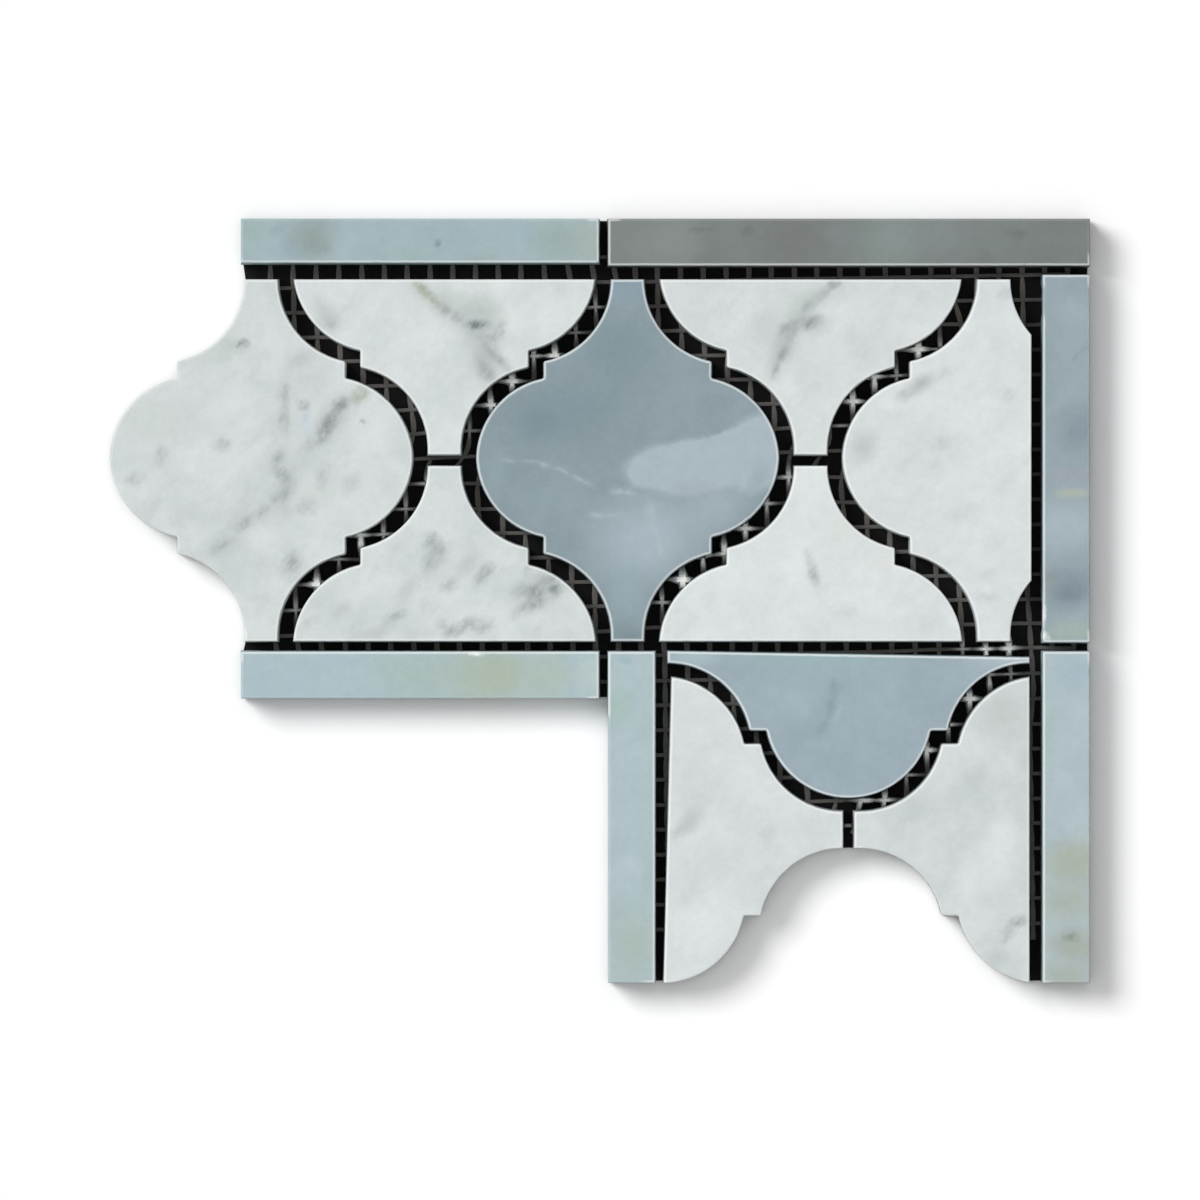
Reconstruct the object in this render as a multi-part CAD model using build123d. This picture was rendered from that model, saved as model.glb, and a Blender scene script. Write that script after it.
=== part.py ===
from build123d import *
import math
import os

# A corner sheet of marble border mosaic. Sixteen flat marble pieces lie on a glass-fibre net, and the net lies on
# a black backing sheet. One arm runs left from the corner and ends in a whole lantern. The other arm runs down and
# ends in a scalloped socket, where the lantern of the next border length goes.
# All lengths are in millimetres and all angles in degrees. The stone faces point up.

# The marble
stone_thickness = 10.0
arris = 0.4
strip_width = 10.0

# The lantern outline: round bulges at the sides, a step at each shoulder, and a narrow neck at each end. The lower
# neck is a little longer, so the shoulders there sit higher.
lantern_width = 64.2
lantern_height = 76.75
neck_width = 7.0
long_neck = 1.15
step_length = 3.6
cut_radius = 0.5

# The joints between the stones
neck_joint = 3.25
tip_joint = 2.4
top_joint = 2.9
under_joint = 2.15
side_joint = 2.8
corner_joint = 2.4
inner_joint = 2.65
arm_joint = 2.75
socket_joint = 2.9
strip_joint = 1.9

# How the cut stones are trimmed
corner_cut = 7.95
lower_lantern_cut = 1.65
lower_lantern_skew = -1.0
left_half_skew = -1.5
strip_overrun = 0.8
top_left_trim = 0.6
socket_spread = 0.8

# The net, and the black sheet under it
sheet_thickness = 0.5
sheet_inset = 0.3
cross_thread_width = 1.0
long_thread_width = 0.6
thread_thickness = 0.3
long_thread_pitch = 5.3
cross_thread_pitch = 4.84
net_turn = 1.0
net_inset = 4.5
net_crossing_in = 14.2
net_crossing_down = 11.8

# The arcs of the lantern. Across, each arc takes half of what lies between the neck and the bulge. Along, two arcs
# and the step between them make up half the height.
arc_across = (lantern_width - neck_width) / 4
arc_along = (lantern_height / 2 - step_length) / 2
arc_radius = (arc_along**2 + arc_across**2) / (2 * arc_across)

# The layout is worked out with its zero at the outer corner of the tile, so it runs to negative X and negative Y.
# Levels across the arm that runs left, from its top edge down
top_left_bottom = top_left_trim - strip_width
field_top = -(strip_width + top_joint)
field_middle = field_top - lantern_height / 2
field_bottom = field_top - lantern_height
under_strip_top = field_bottom - under_joint
under_strip_bottom = under_strip_top - strip_width

# Levels across the arm that runs down, from its right edge to the left
field_right = -(strip_width + side_joint)
field_centre = field_right - lantern_height / 2
field_left = field_right - lantern_height
inner_strip_right = field_left - inner_joint
inner_strip_left = inner_strip_right - strip_width

# Stations along both arms
lantern_pitch = lantern_width + neck_width + 2 * neck_joint
corner_lantern_x = -(strip_width + corner_joint + corner_cut)
centre_lantern_x = corner_lantern_x - lantern_pitch
end_lantern_x = centre_lantern_x - lantern_pitch
end_neck_left = end_lantern_x - neck_width / 2
strip_left = end_neck_left - strip_overrun
tile_left = end_lantern_x - lantern_width / 2
lower_lantern_top = field_bottom - arm_joint
lower_lantern_y = lower_lantern_top + lower_lantern_cut
lower_half_y = lower_lantern_y - (lantern_width + neck_width) / 2 - socket_spread - socket_joint

# A half lantern is cut short of its own middle by half a joint, so two of them meet across the field with a full one
half_cut = tip_joint / 2
bulge_x = lantern_width / 2 - arc_radius
half_reach = bulge_x + math.sqrt(arc_radius**2 - half_cut**2)
tile_bottom = lower_half_y - half_reach

# Heights
cross_thread_base = sheet_thickness
long_thread_base = cross_thread_base + thread_thickness
stone_base = long_thread_base + thread_thickness

to_origin = Pos(-tile_left / 2, -tile_bottom / 2, 0)


def rectangle_between(left, right, bottom, top):
    """A flat rectangle given by its four sides."""
    return Pos((left + right) / 2, (bottom + top) / 2) * Rectangle(right - left, top - bottom)


upper_side = Rectangle(2 * lantern_width, 2 * lantern_height, align=(Align.CENTER, Align.MIN))


def lantern(extra_neck=long_neck, spread=0.0):
    """The whole lantern, neck up, on its own centre.

    The bulge and the neck are arcs of one radius. The bulge's centre is on the lantern's middle line, and the
    neck's is level with its tip, so the same outline turned half round follows the one beside it. A straight step
    joins the two arcs midway between the neck and the bulge, with its corners as round as the cutter leaves them.
    The lower arcs sit higher by the extra neck, and the left side may be moved out to make a wider stone.
    """
    neck_x = neck_width / 2 + arc_radius
    tip_y = lantern_height / 2
    step_x = neck_width / 2 + arc_across
    arc_angle = math.degrees(math.acos((step_x - bulge_x) / arc_radius))
    meeting_angle = math.degrees(math.asin(extra_neck / 2 / arc_radius))
    bulge_angle = arc_angle - meeting_angle
    upper_bulge = CenterArc((bulge_x, 0), arc_radius, meeting_angle, bulge_angle)
    upper_neck = CenterArc((neck_x, tip_y), arc_radius, 180, arc_angle)
    lower_bulge = CenterArc((bulge_x, extra_neck), arc_radius, -arc_angle, bulge_angle)
    lower_neck = CenterArc((neck_x, extra_neck - tip_y), arc_radius, 180 - arc_angle, arc_angle)
    upper_step = Line(upper_bulge @ 1, upper_neck @ 1)
    lower_step = Line(lower_bulge @ 0, lower_neck @ 0)
    right = Curve() + [upper_neck, upper_step, upper_bulge, lower_bulge, lower_step, lower_neck]
    if extra_neck:
        right += Line(lower_neck @ 1, (neck_width / 2, -tip_y))
    left = Pos(-spread, 0) * mirror(right, Plane.YZ)
    top = Line((neck_width / 2, tip_y), (-neck_width / 2 - spread, tip_y))
    bottom = Line((neck_width / 2, -tip_y), (-neck_width / 2 - spread, -tip_y))
    outline = make_face((right + left + [top, bottom]).edges())
    step_corners = outline.vertices().filter_by(
        lambda corner: math.isclose(abs(corner.X + spread / 2), step_x + spread / 2)
    )
    return fillet(step_corners, cut_radius)


def neck_up_half(spread=0.0, skew=0.0):
    """The upper half of a lantern, from a saw cut just above its centre."""
    return lantern(0, spread) & Pos(0, half_cut) * Rot(0, 0, skew) * upper_side


def neck_down_half(spread=0.0):
    """The lower half of a lantern, from a saw cut just below its centre."""
    return lantern(long_neck, spread) - Pos(0, -half_cut) * upper_side


def corner_lantern():
    """A lantern sawn off upright, a little to the right of its middle."""
    kept = Rectangle(lantern_width, 2 * lantern_height, align=(Align.MAX, Align.CENTER))
    return lantern() & Pos(corner_cut, 0) * kept


def lower_lantern():
    """A lantern lying on its side, sawn along its length, with only the bulge that points down left."""
    kept = Rectangle(2 * lantern_height, lantern_width, align=(Align.CENTER, Align.MAX))
    return Rot(0, 0, 90) * lantern(0) & Pos(0, -lower_lantern_cut) * Rot(0, 0, lower_lantern_skew) * kept


def stone(outline):
    """A flat stone of that outline on the net, with a small chamfer round its face."""
    blank = extrude(outline, stone_thickness)
    face_edges = blank.faces().sort_by(Axis.Z)[-1].edges()
    return Pos(0, 0, stone_base) * chamfer(face_edges, arris)


def field_outlines():
    """The lanterns and half lanterns between the strips."""
    half_rise = lantern_height / 2 + half_cut
    left_x = (end_lantern_x + centre_lantern_x) / 2
    right_x = (centre_lantern_x + corner_lantern_x) / 2
    quarter_turn = Rot(0, 0, -90)
    return {
        "end_lantern": Pos(end_lantern_x, field_middle) * lantern(),
        "centre_lantern": Pos(centre_lantern_x, field_middle) * lantern(),
        "corner_lantern": Pos(corner_lantern_x, field_middle) * corner_lantern(),
        "upper_left_half": Pos(left_x, field_middle + half_rise) * neck_down_half(),
        "lower_left_half": Pos(left_x, field_middle - half_rise) * neck_up_half(),
        "upper_right_half": Pos(right_x, field_middle + half_rise) * neck_down_half(),
        "lower_right_half": Pos(right_x, field_middle - half_rise) * neck_up_half(),
        "lower_lantern": Pos(field_centre, lower_lantern_y) * lower_lantern(),
        "socket_left_half": Pos(field_centre - half_rise, lower_half_y)
        * quarter_turn
        * neck_up_half(socket_spread, left_half_skew),
        "socket_right_half": Pos(field_centre + half_rise, lower_half_y)
        * quarter_turn
        * neck_down_half(socket_spread),
    }


def strip_outlines():
    """The straight strips along both edges of both arms."""
    joint_left = inner_strip_left - strip_joint
    side_split = under_strip_top + strip_joint
    return {
        "top_left_strip": rectangle_between(strip_left, joint_left, top_left_bottom, 0),
        "top_corner_strip": rectangle_between(inner_strip_left, 0, -strip_width, 0),
        "side_upper_strip": rectangle_between(-strip_width, 0, side_split, -strip_width - strip_joint),
        "side_lower_strip": rectangle_between(-strip_width, 0, tile_bottom, under_strip_top),
        "under_strip": rectangle_between(strip_left, joint_left, under_strip_bottom, under_strip_top),
        "inner_strip": rectangle_between(inner_strip_left, inner_strip_right, tile_bottom, under_strip_top),
    }


def backing_sheet(outlines):
    """The black sheet: both arms and the end lantern in one piece, cut away where the socket is open.

    At the left end it is trimmed to the strips, and slants across each joint to the neck of the end lantern.
    """
    right = -sheet_inset
    left = strip_left + sheet_inset
    bottom = under_strip_bottom + sheet_inset
    left_arm = Polygon(
        (left, right),
        (left, top_left_bottom),
        (end_neck_left, field_top),
        (end_neck_left, field_bottom),
        (left, under_strip_top),
        (left, bottom),
        (right, bottom),
        (right, right),
        align=None,
    )
    lower_arm = rectangle_between(inner_strip_left + sheet_inset, right, tile_bottom + sheet_inset, right)
    neck_gap = rectangle_between(
        field_centre - tip_joint, field_centre + tip_joint, lower_half_y - neck_width / 2, lower_half_y
    )
    socket = rectangle_between(field_left, field_right, tile_bottom, lower_half_y)
    socket -= outlines["socket_left_half"] + outlines["socket_right_half"] + neck_gap
    return extrude(left_arm + lower_arm + outlines["end_lantern"] - socket, sheet_thickness)


def net_zones():
    """The rectangles that the net is cut to, as left, right, bottom and top, before it is turned."""
    right = -net_inset
    top = -net_inset
    leg_width = strip_width + side_joint + arc_radius / 2
    leg_bottom = tile_bottom + 2 * net_inset
    return [
        (end_neck_left + net_inset, right, under_strip_bottom + net_inset, top),
        (end_lantern_x - bulge_x, end_lantern_x, field_middle - arc_radius / 2, field_middle + arc_radius / 2),
        (inner_strip_left + net_inset, right, lower_half_y, top),
        (inner_strip_left + net_inset, inner_strip_left + leg_width, leg_bottom, lower_half_y),
        (-leg_width, right, leg_bottom, lower_half_y),
    ]


def merged(spans):
    """Spans along one thread, with those that touch or overlap joined into one."""
    joined = []
    for low, high in sorted(spans):
        if joined and low <= joined[-1][1]:
            joined[-1][1] = max(high, joined[-1][1])
        else:
            joined.append([low, high])
    return joined


def thread_places(low, high, through, pitch):
    """Places of the threads between two limits, at an even pitch, with one of them through a given place."""
    first = math.ceil((low - through) / pitch)
    last = math.floor((high - through) / pitch)
    return [through + number * pitch for number in range(first, last + 1)]


def laid_net(threads):
    """Threads turned about the net's crossing near the outer corner, as the net was laid by hand."""
    about = Pos(-net_crossing_in, -net_crossing_down)
    return about * Rot(0, 0, net_turn) * about.inverse() * Compound(threads)


def cross_threads():
    """The threads that run up and down the net, on the sheet."""
    made = []
    for x in thread_places(tile_left, 0, -net_crossing_in, cross_thread_pitch):
        for low, high in merged((bottom, top) for left, right, bottom, top in net_zones() if left < x < right):
            place = Pos(x, (low + high) / 2, cross_thread_base + thread_thickness / 2)
            made.append(place * Box(cross_thread_width, high - low, thread_thickness))
    return laid_net(made)


def long_threads():
    """The threads that run along the net, laid on the first ones."""
    made = []
    for y in thread_places(tile_bottom, 0, -net_crossing_down, long_thread_pitch):
        for low, high in merged((left, right) for left, right, bottom, top in net_zones() if bottom < y < top):
            place = Pos((low + high) / 2, y, long_thread_base + thread_thickness / 2)
            made.append(place * Box(high - low, long_thread_width, thread_thickness))
    return laid_net(made)


outlines = {**field_outlines(), **strip_outlines()}
pieces = {name: stone(outline) for name, outline in outlines.items()}
pieces["backing_sheet"] = backing_sheet(outlines)
pieces["net_cross_threads"] = cross_threads()
pieces["net_long_threads"] = long_threads()

os.makedirs("parts", exist_ok=True)
for name, piece in pieces.items():
    export_step(to_origin * piece, f"parts/{name}.step")
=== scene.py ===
import math

import bpy
import numpy as np
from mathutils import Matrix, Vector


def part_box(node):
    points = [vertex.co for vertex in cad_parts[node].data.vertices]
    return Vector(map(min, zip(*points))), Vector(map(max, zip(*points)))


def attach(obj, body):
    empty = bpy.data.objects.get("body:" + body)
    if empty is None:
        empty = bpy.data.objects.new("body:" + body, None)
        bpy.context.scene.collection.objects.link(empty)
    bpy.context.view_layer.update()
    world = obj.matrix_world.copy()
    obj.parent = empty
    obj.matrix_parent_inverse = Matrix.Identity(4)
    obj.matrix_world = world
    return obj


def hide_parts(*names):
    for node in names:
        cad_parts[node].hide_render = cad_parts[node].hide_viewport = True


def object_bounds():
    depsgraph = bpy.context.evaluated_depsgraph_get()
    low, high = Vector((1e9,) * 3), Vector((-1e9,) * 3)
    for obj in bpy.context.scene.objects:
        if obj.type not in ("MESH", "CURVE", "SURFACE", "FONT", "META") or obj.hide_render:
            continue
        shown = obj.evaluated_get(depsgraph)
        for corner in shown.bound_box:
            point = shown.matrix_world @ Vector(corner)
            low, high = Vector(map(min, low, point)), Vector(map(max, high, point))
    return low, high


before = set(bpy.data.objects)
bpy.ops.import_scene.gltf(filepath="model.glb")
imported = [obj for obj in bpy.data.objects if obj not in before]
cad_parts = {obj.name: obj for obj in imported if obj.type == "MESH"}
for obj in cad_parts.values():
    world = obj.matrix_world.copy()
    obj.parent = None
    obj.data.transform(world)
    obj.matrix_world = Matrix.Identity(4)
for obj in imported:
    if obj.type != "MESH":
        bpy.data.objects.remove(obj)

cad_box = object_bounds()

# A corner sheet of marble border mosaic. Each stone is a mesh carried round its own outline, with a
# softly ground edge, and the net is laid thread by thread. Lengths are in millimetres in the tile's own
# frame, turns are in degrees and colours are as seen on screen, from 0 to 255. Meshes, camera and lamp
# take metres.
MM = 0.001

# Sampling a stone's outline, and the room inside it for rings
UNDERSIDE_LAYER = 0.01
SAMPLE = 0.5
TURN_STEP = 14
CORNER_ROOM = 0.8
SHARP_TURN = 30
TURN_LOOK = 0.12
BEND_SHARE = 0.85
FACING = -0.3
NARROW_SHARE = 0.42
ROOM_OPENING = 0.6
COUNT_SLACK = 1e-6

# The ground edge of a stone, its chips and its wall
EDGE_RADIUS = 0.36
EDGE_SPREAD = 0.62
EDGE_STEPS = 5
EDGE_START = 0.7
# A ground edge away from any joint keeps this share of its whitening, which is its own paleness plus a
# painted highlight
FREE_EDGE = 0.15
RADIUS_LIMIT = 0.95
EDGE_WAVER = 0.10
WAVER_PITCH = 2.5
WAVER_LIMITS = (0.7, 1.3)
CHIP_PITCH = 9.0
CHIP_WIDTH = (0.3, 0.8)
CHIP_DEPTH = (0.05, 0.5)
CHIP_POWER = 1.5
CHIP_SEED = 500
WALL_SHOULDER = 0.5
WALL_MIDDLE = 0.45
WALL_FLARE = 0.22
MIDDLE_FLARE = 0.55
WALL_RIPPLE = 0.03
WALL_PITCH = 1.6
WALL_SEED = 900
JOINT_NEAR = 3.6
JOINT_FAR = 5.0
SMOOTH_ANGLE = 40

# The look of the marble. A drift is its lumps to a millimetre and its reach.
WIDE_DRIFT = (0.10, 2.0)
FINE_DRIFT = (0.6, 0.9)
CLOUD_SCALE = 0.08
SMOKE_SLANT = 52
SMOKE_SIZE = (13.0, 5.0, 10.0)
OVAL_DEPTH = 1000.0
SMALL_BLOT = 5.0
DASH_SIZE = (2.0, 1.0, 1.5)
VEIN_HALO = 2.4
HALO_SHARE = 0.4
VEIN_OVERLAP = 1.2
MOTTLE_SCALE = 0.5
GRAIN_SCALE = 3.0
# The common share of the whitish ground edge colour: partly the edge's own paleness, partly a painted
# highlight
COMMON_PALE_AND_HIGHLIGHT = 0.5
FACE_ROUGHNESS = (0.38, 0.48)
EDGE_ROUGHNESS = 0.6
WALL_ROUGHNESS = 0.75
STONE_GLOSS = 0.22
SAW_MARK_SIZE = (0.4, 0.4, 4.5)
SAW_MARK_DEPTH = 0.10
POLISH_DEPTH = 0.004

# The yarns of the net, the glue on them, and the painted shade on the net along the upper side joint, as an
# oval with its core
YARN_STATION = 1.2
GLUE_STATION = 0.35
FINE_STATION = 0.2
YARN_SIDES = 6
YARN_SEED = 40
PAIR_YARN = (0.40, 0.12)
PAIR_SPACING = 0.20
LONG_YARN = (0.40, 0.14)
TWIST_LENGTH = 10.6
TWIST_LIFT = 0.25
YARN_WANDER = 0.08
WANDER_POINTS = 12
GLUE_REACH = 2.8
REACH_GAIN = 1.5
GLUE_CORE = 0.15
GLUE_TRACE = 0.01
GLUE_SWELL = 1.1
GLUE_HEIGHT = 0.1
GLUE_RISE = 7.0
RISE_ROOM = 0.3
NET_GIVE = 5.0
NET_HOLD = 0.05
# Painted shade on the net where it lies deep in the joint beside the upper side strip: x, y, long reach,
# short reach, turn and core
NET_PAINTED_SHADE = (93.0, 31.0, 40.0, 5.0, 90, 0.8)
PAINTED_SHADE_SHARE = 0.7
STRAND_SCALE = 4.0
STRAND_DEPTH = 0.05

# The backing sheet
TOOTH_SCALE = 2.5
TOOTH_DEPTH = 0.04
DUST_SCALE = 0.3
SHEET_GLOSS = 0.2

# The studio
PHOTO_WIDTH = 254.5
LENS = 600.0
SENSOR = 36.0
VIEW_END = 20000.0
AIM = (0.02, 0.17)
AMBIENT = 0.52
HEIGHT_POWER = 4.0
SUN_SHARE = 0.49
SUN_HEIGHT = 51
SUN_BEARING = 147
SUN_SIZE = 27
FLOOR_SIZE = 6000.0
FLOOR_DROP = 0.1
FLOOR_BOUNCE = 0.8
WHITE = (1, 1, 1, 1)


def screen(red, green, blue):
    """A colour as seen on screen, turned into linear light by the sRGB curve, with full opacity."""
    share = np.array([red, green, blue]) / 255
    light = np.where(share <= 0.04045, share / 12.92, ((share + 0.055) / 1.055) ** 2.4)
    return (*light.tolist(), 1.0)


def smooth(value, start, end):
    """A soft step from 0 at start to 1 at end: three times the square less twice the cube."""
    share = np.clip((value - start) / (end - start), 0, 1)
    return share * share * (3 - 2 * share)


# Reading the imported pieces


def node_mesh(node):
    """The node's points in millimetres, each kept once, and its triangles as rows of point numbers."""
    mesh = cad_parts[node].data
    places = np.empty(3 * len(mesh.vertices), dtype=np.float32)
    mesh.vertices.foreach_get("co", places)
    corners = np.empty(len(mesh.loops), dtype=np.int32)
    mesh.loops.foreach_get("vertex_index", corners)
    rounded = np.round(places.reshape(-1, 3).astype(float) / MM, 3)
    points, number = np.unique(rounded, axis=0, return_inverse=True)
    return points, number.ravel()[corners].reshape(-1, 3)


def underside_ring(node):
    """The outline of a node's underside, anticlockwise from above.

    It is made of the triangle edges there that have no twin. They run clockwise, so each point leads to the
    one before it, and the order is found by doubling: the first points, then as many steps further.
    """
    points, triangles = node_mesh(node)
    low = points[:, 2] < points[:, 2].min() + UNDERSIDE_LAYER
    under = triangles[low[triangles].all(axis=1)]
    starts = under.ravel()
    ends = np.roll(under, -1, axis=1).ravel()
    rim = ~np.isin(starts * len(points) + ends, ends * len(points) + starts)
    step = np.zeros(len(points), dtype=int)
    step[ends[rim]] = starts[rim]
    order = starts[rim][:1]
    while len(order) < rim.sum():
        order = np.concatenate([order, step[order]])
        step = step[step]
    return points[order[: rim.sum()], :2]


def crosswise(first, second):
    """The upright part of the cross product of two rows of flat vectors."""
    return first[:, 0] * second[:, 1] - first[:, 1] * second[:, 0]


def unit(vectors):
    """Flat vectors at length one."""
    return vectors / np.linalg.norm(vectors, axis=1, keepdims=True)


def outline_walk(node):
    """A walk round a stone's outline: samples, outward mitres, lengths along and the room inside.

    Between sharp corners the samples share out the length and the turning evenly. A corner keeps its own
    sample, and its neighbours keep clear of it, so that rings drawn inside don't cross. A mitre is the
    sum of the two outward directions at a sample over one plus their scalar product, which keeps a
    drawn-in ring parallel to both sides. The room inside a rounded corner is most of its radius, at a
    narrow tip it is a share of the width, and it opens out from there.
    """
    ring = underside_ring(node)
    heading = unit(np.roll(ring, -1, axis=0) - ring)
    behind = np.roll(heading, 1, axis=0)
    turn = np.degrees(np.arctan2(crosswise(behind, heading), (behind * heading).sum(axis=1)))
    first = int(np.argmax(np.abs(turn) > SHARP_TURN))
    ring = np.roll(ring, -first, axis=0)
    sharp = np.abs(np.roll(turn, -first)) > SHARP_TURN
    closed = np.vstack([ring, ring[:1]])
    along = np.concatenate([[0], np.cumsum(np.linalg.norm(np.diff(closed, axis=0), axis=1))])
    turned = np.cumsum(np.where(sharp, 0, np.abs(np.roll(turn, -first))))
    effort = along / SAMPLE + np.append(turned, turned[-1]) / TURN_STEP
    marks = np.append(along[:-1][sharp], along[-1])
    runs = [run_stations(low, high, along, effort) for low, high in zip(marks[:-1], marks[1:])]
    place = np.concatenate(runs)

    def point_at(length):
        wrapped = np.mod(length, along[-1])
        return np.stack([np.interp(wrapped, along, closed[:, axis]) for axis in (0, 1)], axis=1)

    sample = point_at(place)
    before = unit(sample - point_at(place - TURN_LOOK))
    after = unit(point_at(place + TURN_LOOK) - sample)
    out_before = np.stack([before[:, 1], -before[:, 0]], axis=1)
    out_after = np.stack([after[:, 1], -after[:, 0]], axis=1)
    agree = (out_before * out_after).sum(axis=1, keepdims=True)
    mitre = (out_before + out_after) / (1 + agree)
    at_corner = np.isin(place, marks)
    bend = np.where(at_corner, 0, crosswise(before, after) / TURN_LOOK)
    room = BEND_SHARE / np.maximum(bend, BEND_SHARE / EDGE_SPREAD)
    room = np.minimum(room, NARROW_SHARE * width_across(sample, mitre, (out_before, out_after)))
    gap = np.abs(place[:, None] - place[None, :])
    gap = np.minimum(gap, along[-1] - gap)
    room = (room[None, :] + ROOM_OPENING * gap).min(axis=1)
    return {"sample": sample, "mitre": mitre, "along": place, "round": along[-1], "room": room}


def width_across(sample, mitre, outward):
    """How wide a stone is at each sample: the way to the nearest sample across it that faces back.

    A corner faces the ways of both its sides.
    """
    apart = sample[None] - sample[:, None]
    inside = (apart * mitre[:, None]).sum(axis=2) < 0
    agreements = [side @ other.T for side in outward for other in outward]
    opposite = np.min(agreements, axis=0) < FACING
    return np.where(inside & opposite, np.linalg.norm(apart, axis=2), np.inf).min(axis=1)


def run_stations(low, high, along, effort):
    """Stations from one sharp corner up to the next: the corner, then even efforts clear of both corners.

    A run that is too short for that has one station, in the middle.
    """
    clear = min(CORNER_ROOM, (high - low) / 2)
    ends = np.interp([low + clear, high - clear], along, effort)
    count = int(math.ceil(ends[1] - ends[0] - COUNT_SLACK)) + 1
    return np.append(low, np.interp(np.linspace(*ends, count), effort, along))


def thread_ends(node):
    """The two end centres of each thread in a net node.

    Points that share triangles get one label, the lowest of their numbers. A thread's middle is the mean of
    its points, and its end lies off the middle by the mean offset of the points ahead of it.
    """
    points, triangles = node_mesh(node)
    label = np.arange(len(points))
    settled = False
    while not settled:
        lower = label.copy()
        np.minimum.at(lower, triangles.ravel(), np.repeat(label[triangles].min(axis=1), 3))
        settled = np.array_equal(lower, label)
        label = lower
    member = np.unique(label, return_inverse=True)[1].ravel()
    middle = group_mean(points, member)
    offset = points - middle[member]
    longest = offset[np.argmax(np.linalg.norm(offset, axis=1))]
    ahead = offset @ longest > 0
    reach = group_mean(offset[ahead], member[ahead])
    return middle - reach, middle + reach


def group_mean(rows, member):
    """The mean of the rows of each group."""
    size = np.bincount(member)
    return np.stack([np.bincount(member, rows[:, axis]) / size for axis in range(rows.shape[1])], axis=1)


# Making meshes


def ring_faces(levels, count, first=0):
    """Faces of a loft: four-sided ones between each ring and the next, and a flat cap at each end."""
    number = first + np.arange(levels * count).reshape(levels, count)
    beside = np.roll(number, -1, axis=1)
    sides = np.stack([number[:-1], beside[:-1], beside[1:], number[1:]], axis=-1).reshape(-1, 4)
    return sides.tolist() + [number[0, ::-1].tolist(), number[-1].tolist()]


def new_piece(name, points, faces, attributes, replaced):
    """A piece of the tile from points in millimetres, with its point attributes, on the tile's body."""
    mesh = bpy.data.meshes.new(name)
    mesh.from_pydata((points * MM).tolist(), [], faces)
    for label, values in attributes.items():
        attribute = mesh.attributes.new(label, "FLOAT", "POINT")
        attribute.data.foreach_set("value", values.astype(np.float32).ravel())
    mesh.shade_smooth()
    mesh.set_sharp_from_angle(angle=math.radians(SMOOTH_ANGLE))
    piece = bpy.data.objects.new(name, mesh)
    bpy.context.scene.collection.objects.link(piece)
    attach(piece, "root")
    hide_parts(replaced)
    return piece


def ripple(share, seed, waves, fewest, most):
    """A gentle wave that closes on itself: a sum of sines with seeded phases and whole numbers of turns."""
    draw = np.random.default_rng(seed)
    turns = draw.integers(fewest, most + 1, waves)
    phase = draw.uniform(0, 2 * math.pi, waves)
    return np.sin(2 * math.pi * share[:, None] * turns + phase).sum(axis=1) / math.sqrt(waves)


def edge_radius(walk, seed):
    """The ground edge's radius round a stone: an even grind that wavers, with a few small chips.

    A chip deepens the grind by its depth times e to the minus square of the distance over its width.
    """
    share = walk["along"] / walk["round"]
    turns = int(walk["round"] / WAVER_PITCH)
    waver = 1 + EDGE_WAVER * ripple(share, seed, waves=9, fewest=3, most=turns)
    draw = np.random.default_rng(seed + CHIP_SEED)
    chips = int(walk["round"] / CHIP_PITCH)
    centre = draw.uniform(0, walk["round"], chips)
    width = draw.uniform(*CHIP_WIDTH, chips)
    depth = draw.uniform(*CHIP_DEPTH, chips) ** CHIP_POWER
    away = np.abs(walk["along"][:, None] - centre)
    chipped = (depth * np.exp(-((away / width) ** 2))).sum(axis=1)
    ground = EDGE_RADIUS * (np.clip(waver, *WAVER_LIMITS) + chipped)
    return np.minimum(ground, RADIUS_LIMIT * walk["room"])


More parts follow.
